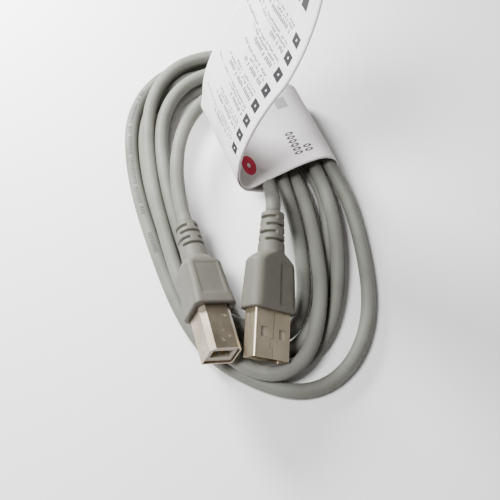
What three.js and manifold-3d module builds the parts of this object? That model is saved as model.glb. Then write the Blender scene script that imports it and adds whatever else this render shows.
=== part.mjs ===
// A coiled computer data lead with a flat type A plug, a square type B plug and a folded paper label.
// Millimetres, +Z up. The lead lies on the plane z = 0, and its box stands centred on the origin.
import * as THREE from "three";
import { mergeVertices } from "three/addons/utils/BufferGeometryUtils.js";
import Module from "manifold-3d";

const wasm = await Module();
wasm.setup();

// ---- driving dimensions ----
const FIT_GAP = 0.3; // clearance that every touching pair keeps
const OVERSHOOT = 1; // how far a cutter goes past what it cuts
const MERGE_WITHIN = 1e-4;
const CABLE_RADIUS = 2.0;
const CABLE_SIDES = 10;
const LEAD_STEP = 3.5;

const COIL_HEIGHT = 3.8 * CABLE_RADIUS; // two layers, the upper one lying in the lower one's grooves
const COIL_EDGE = 3.0;
const COIL_SAMPLES = 64;
const OVER_COIL = COIL_HEIGHT + FIT_GAP + CABLE_RADIUS; // middle of a lead that crosses the coil

const PAPER = 0.3;
const BAND_SLACK = 0.4; // between the paper and a lead that goes in over the coil
const BAND_WIDTH = 28;
const BAND_HEIGHT = OVER_COIL + CABLE_RADIUS + BAND_SLACK + PAPER;
const BAND_LENGTH = 29;
const BAND_CORNER = 4.5;
const BAND_PLACE = new THREE.Vector3(7.38, 33.3, 0);
const BAND_TURN = THREE.MathUtils.degToRad(23);
const LUMP_INSET = 2.5; // how far inside the band's ends the gathered strands stop
const FLAG_GAP = 0.35; // between the flag's two leaves, and from the flag to the band

const SHEET_STEEL = 0.3;
const CONTACT_WIDTH = 1.0;
const CONTACT_THICKNESS = 0.3;
const CONTACT_TAIL = 1.6; // how far a contact stands out behind its insulator
const CONTACT_SETBACK = 1; // from the insulator's front to the nearest contact
const WIRE_RADIUS = 0.45;
const WIRE_SIDES = 8;
const WIRE_STEP = 0.9;
const WIRE_STRAIGHT = 0.6; // a wire leaves its contact straight for this far
const WIRE_LEAN = 0.1; // and has then gone this share of the way across
const WIRE_RUN = 3.6;
const WIRE_GATHER = 0.65; // from the cable's middle to each wire's end
const CRIMP_LENGTH = 2.6;
const CRIMP_WALL = 0.4;
const MOULD_WALL = 1.0;
const MOULD_NARROWER = 0.6; // than the shell that it stands behind
const MOULD_LOWER = 0.4;
const MOULD_MIN_SHELL = 5.0; // a lower shell has a moulding as high as this one's
const MOULD_CORNER = 0.8;
const MOULD_INNER_CORNER = 0.4;
const MIN_CORNER = 0.2;
const BODY_EDGE = 0.5;
const BODY_STEPS = 6;
const RELIEF_SIDES = 24;
const CORNER_SEGMENTS = 2; // three.js doubles this on each arc
const SLOT_WIDTH = 0.9;
const SLOT_PITCH = 2.1;
const SLOT_ROWS = 4;
const SLOT_FROM_REAR = 1.3;
const SLOT_BRIDGE = 2.2; // width of the bars of rubber left between two slots of a row

const PLUG_A = {
  name: "plug_a",
  place: new THREE.Vector3(4.65, -23.8, COIL_HEIGHT + 5.2),
  yaw: -3,
  pitch: 8,
  roll: 42,
  shellWidth: 12.0,
  shellHeight: 4.5,
  shellCorner: 0.6,
  shellChamfer: 0,
  shellOut: 12.0,
  shellIn: 6.7,
  bodyWidth: 15.0,
  bodyHeight: 7.6,
  bodyCorner: 2.6,
  bodyLength: 15.6,
  bodyRearScale: 0.9,
  bodyWaist: 0,
  reliefLength: 10.8,
  reliefFront: 3.6,
  reliefRear: 3.05,
  wireRows: [0, 0, 0, 0],
  wireColumns: [-3.5, -1.0, 1.0, 3.5],
  wireEnds: [[-1, 1], [-1, -1], [1, -1], [1, 1]],
};

const PLUG_B = {
  name: "plug_b",
  place: new THREE.Vector3(-10.0, -24.3, COIL_HEIGHT + 6.0),
  yaw: 15.5,
  pitch: -8.5,
  roll: 25,
  shellWidth: 8.45,
  shellHeight: 7.78,
  shellCorner: 0.5,
  shellChamfer: 1.3,
  shellOut: 12.3,
  shellIn: 6.2,
  bodyWidth: 11.6,
  bodyHeight: 10.8,
  bodyCorner: 1.8,
  bodyLength: 16.2,
  bodyRearScale: 0.88,
  bodyWaist: 0.05,
  reliefLength: 11.8,
  reliefFront: 3.7,
  reliefRear: 3.1,
  wireRows: [-1.35, -1.35, 1.35, 1.35],
  wireColumns: [-1.25, 1.25, -1.25, 1.25],
  wireEnds: [[-1, -1], [1, -1], [-1, 1], [1, 1]],
};

const SEAM_HALF = 0.06; // half the width of the line where the bent sheet's edges meet
const SEAM_HOOK = 1.1;
const SEAM_HOOK_FROM_TIP = 2.6;
const SEAM_HOOK_LENGTH = 2.4;
const WINDOW_WIDTH = 2.3;
const WINDOW_LENGTH = 2.5;
const WINDOW_OFFSET = 3.1; // from the plug's middle to a window's middle
const WINDOW_FROM_TIP = 6.4;
const TONGUE_HEIGHT = 1.85;
const A_CONTACT_SETBACK = [0.6, 1.6, 1.6, 0.6]; // power and ground reach further forward than data
const B_MOUTH_WIDTH = 5.4;
const B_MOUTH_HEIGHT = 3.2;
const B_MOUTH_DEPTH = 10.5;
const INSULATOR_SETBACK = 0.5;

// the coil's middle line, clockwise from its upper left, each with half the bundle's width there
const COIL_STATIONS = [
  [-12.7, 63.0, 6.3],
  [-4.0, 65.0, 6.0],
  [1.8, 61.6, 5.8],
  [4.9, 54.0, 5.7],
  [8.2, 44.0, 7.0],
  [11.2, 33.0, 8.5],
  [14.8, 21.5, 9.6],
  [20.4, 8.0, 10.4],
  [23.4, -5.0, 10.2],
  [24.6, -17.0, 9.2],
  [22.6, -28.5, 7.4],
  [17.6, -36.6, 5.2],
  [10.6, -39.8, 3.5],
  [3.6, -38.6, 3.1],
  [-4.2, -34.4, 3.3],
  [-10.8, -28.2, 3.7],
  [-16.2, -19.0, 4.3],
  [-21.2, -7.0, 4.6],
  [-25.4, 5.0, 5.0],
  [-29.0, 18.0, 5.8],
  [-31.2, 32.0, 6.8],
  [-31.2, 43.5, 7.2],
  [-28.0, 53.6, 7.0],
  [-21.4, 60.2, 6.6],
];

// each lead from its strain relief: free points, then points given from the band's near end
const LEAD_A_POINTS = [
  [6.0, 8.6, OVER_COIL + 4.9],
];
const LEAD_B_POINTS = [
  [-19.4, 9.5, OVER_COIL - 0.7],
  [-20.8, 16.5, OVER_COIL - 0.3],
  [-21.2, 24.0, OVER_COIL - 0.1],
  [-20.6, 30.5, OVER_COIL + 0.1],
  [-19.2, 37.0, OVER_COIL + 0.1],
];
// across the band, out from its end, and up
const LEAD_A_AT_BAND = [
  [-9.6, 2.6, OVER_COIL + 1.1],
];
const LEAD_B_AT_BAND = [
  [-BAND_WIDTH / 2 - 2.9, 3.4, OVER_COIL + 0.1],
  [-9.6, 7.0, OVER_COIL + 0.1],
  [-1.7, 6.7, OVER_COIL],
];
// across the band and up, where a lead meets the gathered strands
const LEAD_A_ENTRY = [-8.6, OVER_COIL - 1.1];
const LEAD_B_ENTRY = [3.4, OVER_COIL];

// the standing flag's outline, outwards from the fold: across the band and up
const FLAG_PROFILE = [
  [0, 0],
  [-2.0, 6.4],
  [-1.5, 15.0],
  [0.4, 22.0],
  [3.3, 29.0],
  [6.9, 35.3],
  [10.6, 40.6],
  [13.6, 47.6],
  [15.2, 53.0],
  [16.4, 58.6],
  [17.2, 65.0],
  [17.8, 74.0],
];
const FLAG_SAMPLES = 30;
const FLAG_ROOT_HEIGHT = 9.6;

// ---- materials ----
function material(color, roughness, metalness) {
  return new THREE.MeshStandardMaterial({ color, roughness, metalness });
}
const JACKET = 0x9c9b94;
const MOULDING = 0x7d7b73;
const STEEL = 0xa59a8a;
const GOLD = 0xc9a45a;
const PAPER_WHITE = 0xdcd8d2;
const NATURAL_PLASTIC = 0xd8d4c8;
const WIRE_COLOURS = { red: 0xb02a25, white: 0xe4e2dc, green: 0x2f8a4a, black: 0x202022 };
const WIRE_NAMES = Object.keys(WIRE_COLOURS);

// ---- solid helpers ----
function toSolid(geometry) {
  const bare = geometry.clone();
  bare.deleteAttribute("normal");
  bare.deleteAttribute("uv");
  const merged = mergeVertices(bare, MERGE_WITHIN);
  const vertProperties = new Float32Array(merged.attributes.position.array);
  const triVerts = new Uint32Array(merged.index.array);
  return new wasm.Manifold(new wasm.Mesh({ numProp: 3, vertProperties, triVerts }));
}

function toGeometry(solid) {
  const mesh = solid.getMesh();
  const geometry = new THREE.BufferGeometry();
  geometry.setAttribute("position", new THREE.BufferAttribute(mesh.vertProperties, 3));
  geometry.setIndex(new THREE.BufferAttribute(mesh.triVerts, 1));
  geometry.computeVertexNormals();
  return geometry;
}

function cut(geometry, cutters) {
  let solid = toSolid(geometry);
  for (const cutter of cutters) {
    solid = solid.subtract(toSolid(cutter));
  }
  return toGeometry(solid);
}

function join(geometries) {
  let solid = toSolid(geometries[0]);
  for (const other of geometries.slice(1)) {
    solid = solid.add(toSolid(other));
  }
  return toGeometry(solid);
}

// a box between two corners
function block(low, high) {
  const size = high.map((value, axis) => value - low[axis]);
  const geometry = new THREE.BoxGeometry(...size);
  geometry.translate(...low.map((value, axis) => value + size[axis] / 2));
  return geometry;
}

// a rectangle with four round corners, or with its two upper corners cut at 45 degrees
function sectionShape(width, height, corner, chamfer = 0) {
  const x = width / 2;
  const y = height / 2;
  const shape = new THREE.Shape();
  shape.moveTo(-x + corner, -y);
  shape.lineTo(x - corner, -y);
  shape.absarc(x - corner, -y + corner, corner, -Math.PI / 2, 0);
  if (chamfer > 0) {
    shape.lineTo(x, y - chamfer);
    shape.lineTo(x - chamfer, y);
    shape.lineTo(-x + chamfer, y);
    shape.lineTo(-x, y - chamfer);
  } else {
    shape.absarc(x - corner, y - corner, corner, 0, Math.PI / 2);
    shape.absarc(-x + corner, y - corner, corner, Math.PI / 2, Math.PI);
  }
  shape.absarc(-x + corner, -y + corner, corner, Math.PI, Math.PI * 1.5);
  return shape;
}

// a section in the XZ plane, run along Y from the front to the rear
function prism(shape, front, rear, options = {}) {
  const settings = { depth: rear - front, bevelEnabled: false, curveSegments: CORNER_SEGMENTS, ...options };
  const geometry = new THREE.ExtrudeGeometry(shape, settings);
  geometry.rotateX(Math.PI / 2);
  geometry.translate(0, rear, 0);
  return geometry;
}

function rod(radius, front, rear, sides = RELIEF_SIDES) {
  const geometry = new THREE.CylinderGeometry(radius, radius, rear - front, sides);
  geometry.translate(0, (front + rear) / 2, 0);
  return geometry;
}

function tube(points, radius, sides, step) {
  const through = points.map((point) => new THREE.Vector3(...point));
  const curve = new THREE.CatmullRomCurve3(through, false, "centripetal");
  const circle = new THREE.Shape().absarc(0, 0, radius, 0, Math.PI * 2);
  const steps = Math.max(2, Math.round(curve.getLength() / step));
  const settings = { extrudePath: curve, steps, bevelEnabled: false, curveSegments: sides / 2 };
  return new THREE.ExtrudeGeometry(circle, settings);
}

function part(name, geometry, look) {
  const mesh = new THREE.Mesh(geometry, look);
  mesh.name = name;
  return mesh;
}

// ---- the plugs, each along its own Y axis with the tip towards -Y ----
function plugGroup(plug) {
  const group = new THREE.Group();
  group.position.copy(plug.place);
  const turns = [plug.pitch, plug.roll, plug.yaw].map(THREE.MathUtils.degToRad);
  group.rotation.set(...turns, "ZXY");
  group.updateMatrixWorld(true);
  return group;
}

// cutters for the thin joint line where the bent sheet's two edges meet, with its dovetail
function seamCutters(plug) {
  const top = plug.shellHeight / 2 + FIT_GAP;
  const low = plug.shellHeight / 2 - SHEET_STEEL - FIT_GAP;
  const half = SEAM_HALF;
  const hookFrom = -plug.shellOut + SEAM_HOOK_FROM_TIP;
  const hookTo = hookFrom + SEAM_HOOK_LENGTH;
  const straight = (x, from, to) => block([x - half, from, low], [x + half, to, top]);
  const across = (y) => block([-SEAM_HOOK - half, y - half, low], [half, y + half, top]);
  return [
    straight(0, -plug.shellOut - OVERSHOOT, hookFrom + half),
    across(hookFrom),
    straight(-SEAM_HOOK, hookFrom - half, hookTo + half),
    across(hookTo),
    straight(0, hookTo - half, plug.shellIn - OVERSHOOT),
  ];
}

function windowCutters(plug) {
  const middle = -plug.shellOut + WINDOW_FROM_TIP;
  const reach = plug.shellHeight;
  return [-1, 1].map((side) => {
    const x = side * WINDOW_OFFSET;
    const low = [x - WINDOW_WIDTH / 2, middle - WINDOW_LENGTH / 2, -reach];
    return block(low, [x + WINDOW_WIDTH / 2, middle + WINDOW_LENGTH / 2, reach]);
  });
}

function shellBore(plug, extra) {
  const wall = 2 * (SHEET_STEEL + extra);
  const corner = Math.max(plug.shellCorner - SHEET_STEEL, MIN_CORNER);
  const chamfer = plug.shellChamfer > 0 ? plug.shellChamfer - SHEET_STEEL / 2 : 0;
  return sectionShape(plug.shellWidth - wall, plug.shellHeight - wall, corner, chamfer);
}

function shell(plug, cutters) {
  const outer = sectionShape(plug.shellWidth, plug.shellHeight, plug.shellCorner, plug.shellChamfer);
  const body = prism(outer, -plug.shellOut, plug.shellIn);
  const bore = prism(shellBore(plug, 0), -plug.shellOut - OVERSHOOT, plug.shellIn + OVERSHOOT);
  return cut(body, [bore, ...cutters]);
}

function contactBox(plug, index, front, grow) {
  const x = plug.wireColumns[index];
  const half = CONTACT_WIDTH / 2 + grow;
  const level = plug.wireRows[index];
  const thick = CONTACT_THICKNESS / 2 + grow;
  const rear = plug.shellIn - FIT_GAP + CONTACT_TAIL + grow;
  return block([x - half, front - grow, level - thick], [x + half, rear, level + thick]);
}

function contactFront(plug, index) {
  const tip = -plug.shellOut + INSULATOR_SETBACK + CONTACT_SETBACK;
  return plug === PLUG_A ? tip + A_CONTACT_SETBACK[index] : tip;
}

// a groove that holds a contact and opens on the insulator's mouth side
function contactGroove(plug, index) {
  const half = CONTACT_WIDTH / 2 + FIT_GAP;
  const x = plug.wireColumns[index];
  const level = plug.wireRows[index];
  const away = level > 0 ? 1 : -1;
  const back = level + away * (CONTACT_THICKNESS / 2 + FIT_GAP);
  const inner = plug === PLUG_A ? -plug.shellHeight : 0;
  const outer = plug === PLUG_A ? CONTACT_THICKNESS / 2 + FIT_GAP : back;
  const front = contactFront(plug, index) - FIT_GAP;
  const low = [x - half, front, Math.min(inner, outer)];
  return block(low, [x + half, plug.shellIn + OVERSHOOT, Math.max(inner, outer)]);
}

function insulatorA(plug) {
  const top = plug.shellHeight / 2 - SHEET_STEEL - FIT_GAP;
  const half = plug.shellWidth / 2 - SHEET_STEEL - FIT_GAP;
  const front = -plug.shellOut + INSULATOR_SETBACK;
  const body = block([-half, front, top - TONGUE_HEIGHT], [half, plug.shellIn - FIT_GAP, top]);
  const grooves = plug.wireColumns.map((_, index) => contactGroove(plug, index));
  return cut(body, grooves);
}

function insulatorB(plug) {
  const body = prism(shellBore(plug, FIT_GAP), -plug.shellOut + INSULATOR_SETBACK, plug.shellIn - FIT_GAP);
  const mouthFront = -plug.shellOut - OVERSHOOT;
  const mouthRear = -plug.shellOut + B_MOUTH_DEPTH;
  const x = B_MOUTH_WIDTH / 2;
  const z = B_MOUTH_HEIGHT / 2;
  const mouth = block([-x, mouthFront, -z], [x, mouthRear, z]);
  const grooves = plug.wireColumns.map((_, index) => contactGroove(plug, index));
  return cut(body, [mouth, ...grooves]);
}

function mouldFront(plug) {
  return plug.shellIn + FIT_GAP;
}

function cableFront(plug) {
  return plug.shellIn + CONTACT_TAIL + WIRE_RUN;
}

function mouldWidth(plug) {
  return plug.shellWidth - MOULD_NARROWER;
}

function mouldHeight(plug) {
  return Math.max(plug.shellHeight, MOULD_MIN_SHELL) - MOULD_LOWER;
}

// the inner moulding is a sleeve round the soldered wires
function innerMould(plug) {
  const front = mouldFront(plug);
  const rear = cableFront(plug) - FIT_GAP;
  const width = mouldWidth(plug);
  const height = mouldHeight(plug);
  const body = prism(sectionShape(width, height, MOULD_CORNER), front, rear);
  const hollow = sectionShape(width - 2 * MOULD_WALL, height - 2 * MOULD_WALL, MOULD_INNER_CORNER);
  return cut(body, [prism(hollow, front - OVERSHOOT, rear + OVERSHOOT)]);
}

function wire(plug, index) {
  const x = plug.wireColumns[index];
  const z = plug.wireRows[index];
  const start = plug.shellIn + CONTACT_TAIL + FIT_GAP;
  const end = cableFront(plug) - FIT_GAP;
  const middle = (start + end) / 2;
  const [endX, endZ] = plug.wireEnds[index].map((side) => side * WIRE_GATHER);
  const points = [
    [x, start, z],
    [x + (endX - x) * WIRE_LEAN, start + WIRE_STRAIGHT, z + (endZ - z) * WIRE_LEAN],
    [(x + endX) / 2, middle, (z + endZ) / 2],
    [endX, end, endZ],
  ];
  return tube(points, WIRE_RADIUS, WIRE_SIDES, WIRE_STEP);
}

function crimpFront(plug) {
  return cableFront(plug) + FIT_GAP;
}

function crimp(plug) {
  const front = crimpFront(plug);
  const rear = Math.min(front + CRIMP_LENGTH, plug.bodyLength - MOULD_WALL);
  const bore = CABLE_RADIUS + FIT_GAP;
  return cut(rod(bore + CRIMP_WALL, front, rear), [rod(bore, front - OVERSHOOT, rear + OVERSHOOT)]);
}

// narrows a body along Y: full size at the front, smaller at the rear, with waisted sides
function tapered(geometry, plug) {
  const position = geometry.attributes.position;
  for (let i = 0; i < position.count; i += 1) {
    const along = THREE.MathUtils.clamp(position.getY(i) / plug.bodyLength, 0, 1);
    const scale = THREE.MathUtils.lerp(1, plug.bodyRearScale, along);
    const waist = 1 - plug.bodyWaist * Math.sin(Math.PI * along);
    position.setX(i, position.getX(i) * scale * waist);
    position.setZ(i, position.getZ(i) * scale);
  }
  return geometry;
}

function overmould(plug) {
  const edge = BODY_EDGE;
  const corner = plug.bodyCorner - edge;
  const outline = sectionShape(plug.bodyWidth - 2 * edge, plug.bodyHeight - 2 * edge, corner);
  const bevel = {
    bevelEnabled: true,
    bevelThickness: edge,
    bevelSize: edge,
    bevelSegments: 2,
    steps: BODY_STEPS,
  };
  const body = tapered(prism(outline, edge, plug.bodyLength - edge, bevel), plug);
  const wide = plug.shellWidth + 2 * FIT_GAP;
  const high = plug.shellHeight + 2 * FIT_GAP;
  const seat = sectionShape(wide, high, plug.shellCorner, plug.shellChamfer);
  const room = sectionShape(mouldWidth(plug) + 2 * FIT_GAP, mouldHeight(plug) + 2 * FIT_GAP, MOULD_CORNER);
  const crimpRoom = CABLE_RADIUS + CRIMP_WALL + 2 * FIT_GAP;
  const crimpRear = Math.min(crimpFront(plug) + CRIMP_LENGTH, plug.bodyLength - MOULD_WALL) + FIT_GAP;
  return cut(body, [
    prism(seat, -OVERSHOOT, mouldFront(plug) - FIT_GAP / 2),
    prism(room, mouldFront(plug) - FIT_GAP, cableFront(plug)),
    rod(crimpRoom, cableFront(plug) - FIT_GAP, crimpRear),
    rod(CABLE_RADIUS + FIT_GAP, crimpRear - OVERSHOOT, plug.bodyLength + OVERSHOOT),
  ]);
}

function reliefFront(plug) {
  return plug.bodyLength + FIT_GAP;
}

function reliefRear(plug) {
  return reliefFront(plug) + plug.reliefLength;
}

// a row of two slots on opposite sides; every other row is turned a quarter
function slotRow(plug, row) {
  const y = reliefRear(plug) - SLOT_FROM_REAR - row * SLOT_PITCH;
  const reach = plug.bodyWidth;
  const bridge = SLOT_BRIDGE / 2;
  return [-1, 1].map((side) => {
    const from = side > 0 ? bridge : -reach;
    const to = side > 0 ? reach : -bridge;
    const low = row % 2 === 0 ? [from, y - SLOT_WIDTH, -reach] : [-reach, y - SLOT_WIDTH, from];
    const high = row % 2 === 0 ? [to, y, reach] : [reach, y, to];
    return block(low, high);
  });
}

function strainRelief(plug) {
  const front = reliefFront(plug);
  const rear = reliefRear(plug);
  const body = new THREE.CylinderGeometry(plug.reliefRear, plug.reliefFront, rear - front, RELIEF_SIDES);
  body.translate(0, (front + rear) / 2, 0);
  const cutters = [rod(CABLE_RADIUS + FIT_GAP, front - OVERSHOOT, rear + OVERSHOOT)];
  for (let row = 0; row < SLOT_ROWS; row += 1) {
    cutters.push(...slotRow(plug, row));
  }
  return cut(body, cutters);
}

function cableEnd(plug) {
  return rod(CABLE_RADIUS, cableFront(plug), reliefRear(plug) + FIT_GAP);
}

function buildPlug(plug, insulator, shellCutters) {
  const group = plugGroup(plug);
  const name = (piece) => `${plug.name}_${piece}`;
  group.add(part(name("shell"), shell(plug, shellCutters), material(STEEL, 0.35, 0.9)));
  group.add(part(name("insulator"), insulator, material(NATURAL_PLASTIC, 0.5, 0)));
  WIRE_NAMES.forEach((colour, index) => {
    const strip = contactBox(plug, index, contactFront(plug, index), 0);
    group.add(part(name(`contact_${index + 1}`), strip, material(GOLD, 0.3, 0.9)));
    const look = material(WIRE_COLOURS[colour], 0.5, 0);
    group.add(part(name(`wire_${colour}`), wire(plug, index), look));
  });
  group.add(part(name("inner_mould"), innerMould(plug), material(NATURAL_PLASTIC, 0.6, 0)));
  group.add(part(name("crimp_ring"), crimp(plug), material(STEEL, 0.4, 0.9)));
  group.add(part(name("overmould"), overmould(plug), material(MOULDING, 0.6, 0)));
  group.add(part(name("strain_relief"), strainRelief(plug), material(MOULDING, 0.6, 0)));
  group.add(part(name("cable_end"), cableEnd(plug), material(JACKET, 0.55, 0)));
  return group;
}

// ---- the paper label ----
function bandGroup() {
  const group = new THREE.Group();
  group.position.copy(BAND_PLACE);
  group.rotation.z = BAND_TURN;
  group.updateMatrixWorld(true);
  return group;
}

// the band's rounded section, shrunk by an inset, between two places along it
function bandPrism(inset, front, rear) {
  const width = BAND_WIDTH - 2 * inset;
  const height = BAND_HEIGHT - 2 * inset;
  const geometry = prism(sectionShape(width, height, BAND_CORNER - inset), front, rear);
  geometry.translate(0, 0, BAND_HEIGHT / 2);
  return geometry;
}

function labelBand() {
  const half = BAND_LENGTH / 2;
  return cut(bandPrism(0, -half, half), [bandPrism(PAPER, -half - OVERSHOOT, half + OVERSHOOT)]);
}

// a leaf of the flag: the profile thickened sideways by the paper and run along the band
function flagLeaf(offset) {
  const points = FLAG_PROFILE.map(([across, up]) => new THREE.Vector2(across, up));
  const line = new THREE.SplineCurve(points).getSpacedPoints(FLAG_SAMPLES);
  const side = (shift) => line.map((point, index) => {
    const before = line[Math.max(index - 1, 0)];
    const after = line[Math.min(index + 1, line.length - 1)];
    const along = after.clone().sub(before).normalize();
    return new THREE.Vector2(point.x - along.y * shift, point.y + along.x * shift);
  });
  const outline = [...side(offset), ...side(offset + PAPER).reverse()];
  return prism(new THREE.Shape(outline), -BAND_LENGTH / 2, BAND_LENGTH / 2);
}

function flagPlace() {
  return new THREE.Vector3(-BAND_WIDTH / 2 - PAPER - FLAG_GAP * 2, 0, FLAG_ROOT_HEIGHT);
}

// ---- the cable ----
function coilOutline() {
  const points = COIL_STATIONS.map((station) => new THREE.Vector3(...station));
  const curve = new THREE.CatmullRomCurve3(points, true, "centripetal");
  const line = curve.getSpacedPoints(COIL_SAMPLES).slice(1);
  const offset = (sign) => line.map((point, index) => {
    const before = line[(index + line.length - 1) % line.length];
    const after = line[(index + 1) % line.length];
    const along = new THREE.Vector2(after.x - before.x, after.y - before.y).normalize();
    const reach = sign * (point.z - COIL_EDGE);
    return new THREE.Vector2(point.x - along.y * reach, point.y + along.x * reach);
  });
  return { outer: offset(1), inner: offset(-1) };
}

function coilRing() {
  const { outer, inner } = coilOutline();
  const shape = new THREE.Shape(outer.reverse());
  shape.holes.push(new THREE.Path(inner));
  const settings = {
    depth: COIL_HEIGHT - 2 * COIL_EDGE,
    bevelEnabled: true,
    bevelThickness: COIL_EDGE,
    bevelSize: COIL_EDGE,
    bevelSegments: 3,
  };
  const geometry = new THREE.ExtrudeGeometry(shape, settings);
  geometry.translate(0, 0, COIL_EDGE);
  return geometry;
}

// the ring, trimmed to fit inside the paper, and the strands gathered there
function coil(band) {
  const inset = PAPER + FIT_GAP;
  const half = BAND_LENGTH / 2;
  const lump = bandPrism(inset, -half + LUMP_INSET, half - LUMP_INSET);
  const wide = BAND_WIDTH / 2 + COIL_EDGE;
  const around = block([-wide, -half - FIT_GAP, -OVERSHOOT], [wide, half + FIT_GAP, BAND_HEIGHT]);
  const paperRoom = cut(around, [bandPrism(inset, -half - OVERSHOOT, half + OVERSHOOT)]);
  for (const geometry of [lump, paperRoom]) {
    geometry.applyMatrix4(band.matrixWorld);
  }
  return join([cut(coilRing(), [paperRoom]), lump]);
}

function bandPoint(band, across, along, up) {
  return band.localToWorld(new THREE.Vector3(across, along, up)).toArray();
}

function leadStart(group, plug) {
  const rear = reliefRear(plug) + 2 * FIT_GAP;
  const points = [rear, rear + CABLE_RADIUS].map((y) => new THREE.Vector3(0, y, 0));
  return points.map((point) => group.localToWorld(point).toArray());
}

function lead(group, plug, free, atBand, band, entry, end) {
  const near = atBand.map(([across, out, up]) => bandPoint(band, across, end * (BAND_LENGTH / 2 + out), up));
  const face = end * (BAND_LENGTH / 2 - LUMP_INSET + FIT_GAP);
  const before = face + end * CABLE_RADIUS;
  const last = [before, face].map((along) => bandPoint(band, entry[0], along, entry[1]));
  return tube([...leadStart(group, plug), ...free, ...near, ...last], CABLE_RADIUS, CABLE_SIDES, LEAD_STEP);
}

// ---- assembly ----
const assembly = new THREE.Group();
const band = bandGroup();
const plugA = buildPlug(PLUG_A, insulatorA(PLUG_A), [...windowCutters(PLUG_A), ...seamCutters(PLUG_A)]);
const plugB = buildPlug(PLUG_B, insulatorB(PLUG_B), []);
const jacketLook = () => material(JACKET, 0.55, 0);
assembly.add(part("cable_coil", coil(band), jacketLook()));
const leadA = lead(plugA, PLUG_A, LEAD_A_POINTS, LEAD_A_AT_BAND, band, LEAD_A_ENTRY, -1);
const leadB = lead(plugB, PLUG_B, LEAD_B_POINTS, LEAD_B_AT_BAND, band, LEAD_B_ENTRY, 1);
assembly.add(part("cable_lead_a", leadA, jacketLook()));
assembly.add(part("cable_lead_b", leadB, jacketLook()));
assembly.add(plugA, plugB, band);

band.add(part("label_band", labelBand(), material(PAPER_WHITE, 0.7, 0)));
const flag = new THREE.Group();
flag.position.copy(flagPlace());
flag.add(part("label_flag_front", flagLeaf(0), material(PAPER_WHITE, 0.7, 0)));
flag.add(part("label_flag_back", flagLeaf(PAPER + FLAG_GAP), material(PAPER_WHITE, 0.7, 0)));
band.add(flag);

const box = new THREE.Box3().setFromObject(assembly, true);
const centre = box.getCenter(new THREE.Vector3());
assembly.position.set(-centre.x, -centre.y, -box.min.z);
assembly.updateMatrixWorld(true);

export default assembly;
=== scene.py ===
"""The looks of a coiled computer data lead with two plugs and a folded paper label.

Sizes are in millimetres in the layout's own frame until to_frame() turns them into metres in the CAD frame.
"""
import math

import bpy
import numpy as np
from mathutils import Matrix, Vector


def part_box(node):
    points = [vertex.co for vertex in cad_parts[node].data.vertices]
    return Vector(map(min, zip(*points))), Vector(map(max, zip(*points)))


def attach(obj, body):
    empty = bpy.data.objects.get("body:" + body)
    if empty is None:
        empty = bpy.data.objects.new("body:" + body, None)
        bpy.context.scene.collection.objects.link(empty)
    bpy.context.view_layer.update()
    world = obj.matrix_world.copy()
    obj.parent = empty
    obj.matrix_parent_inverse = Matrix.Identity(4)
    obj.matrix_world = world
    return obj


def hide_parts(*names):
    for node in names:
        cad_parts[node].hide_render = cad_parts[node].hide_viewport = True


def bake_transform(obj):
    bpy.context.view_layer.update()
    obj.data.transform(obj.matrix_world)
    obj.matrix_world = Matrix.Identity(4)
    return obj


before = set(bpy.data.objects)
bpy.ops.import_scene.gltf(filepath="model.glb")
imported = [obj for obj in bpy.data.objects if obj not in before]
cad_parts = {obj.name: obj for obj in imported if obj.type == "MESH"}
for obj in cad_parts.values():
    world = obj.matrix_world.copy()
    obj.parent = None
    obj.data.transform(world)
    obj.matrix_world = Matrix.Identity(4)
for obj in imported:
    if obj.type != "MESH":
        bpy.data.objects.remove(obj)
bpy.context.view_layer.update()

MM = 0.001

# ---- the cable and its coil, as in the CAD ----
CABLE_RADIUS = 2.0
CABLE_SIDES = 16
CORD_STEP = 2.5
# the coil's middle line, clockwise from its upper left
MIDDLE_LINE = [
    (-12.7, 63.0), (-4.0, 65.0), (1.8, 61.6), (4.9, 54.0), (8.2, 44.0), (11.2, 33.0),
    (14.8, 21.5), (20.4, 8.0), (23.4, -5.0), (24.6, -17.0), (22.6, -28.5), (17.6, -36.6),
    (10.6, -39.8), (3.6, -38.6), (-4.2, -34.4), (-10.8, -28.2), (-16.2, -19.0), (-21.2, -7.0),
    (-25.4, 5.0), (-29.0, 18.0), (-31.2, 32.0), (-31.2, 43.5), (-28.0, 53.6), (-21.4, 60.2),
]
STATIONS = len(MIDDLE_LINE)
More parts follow.
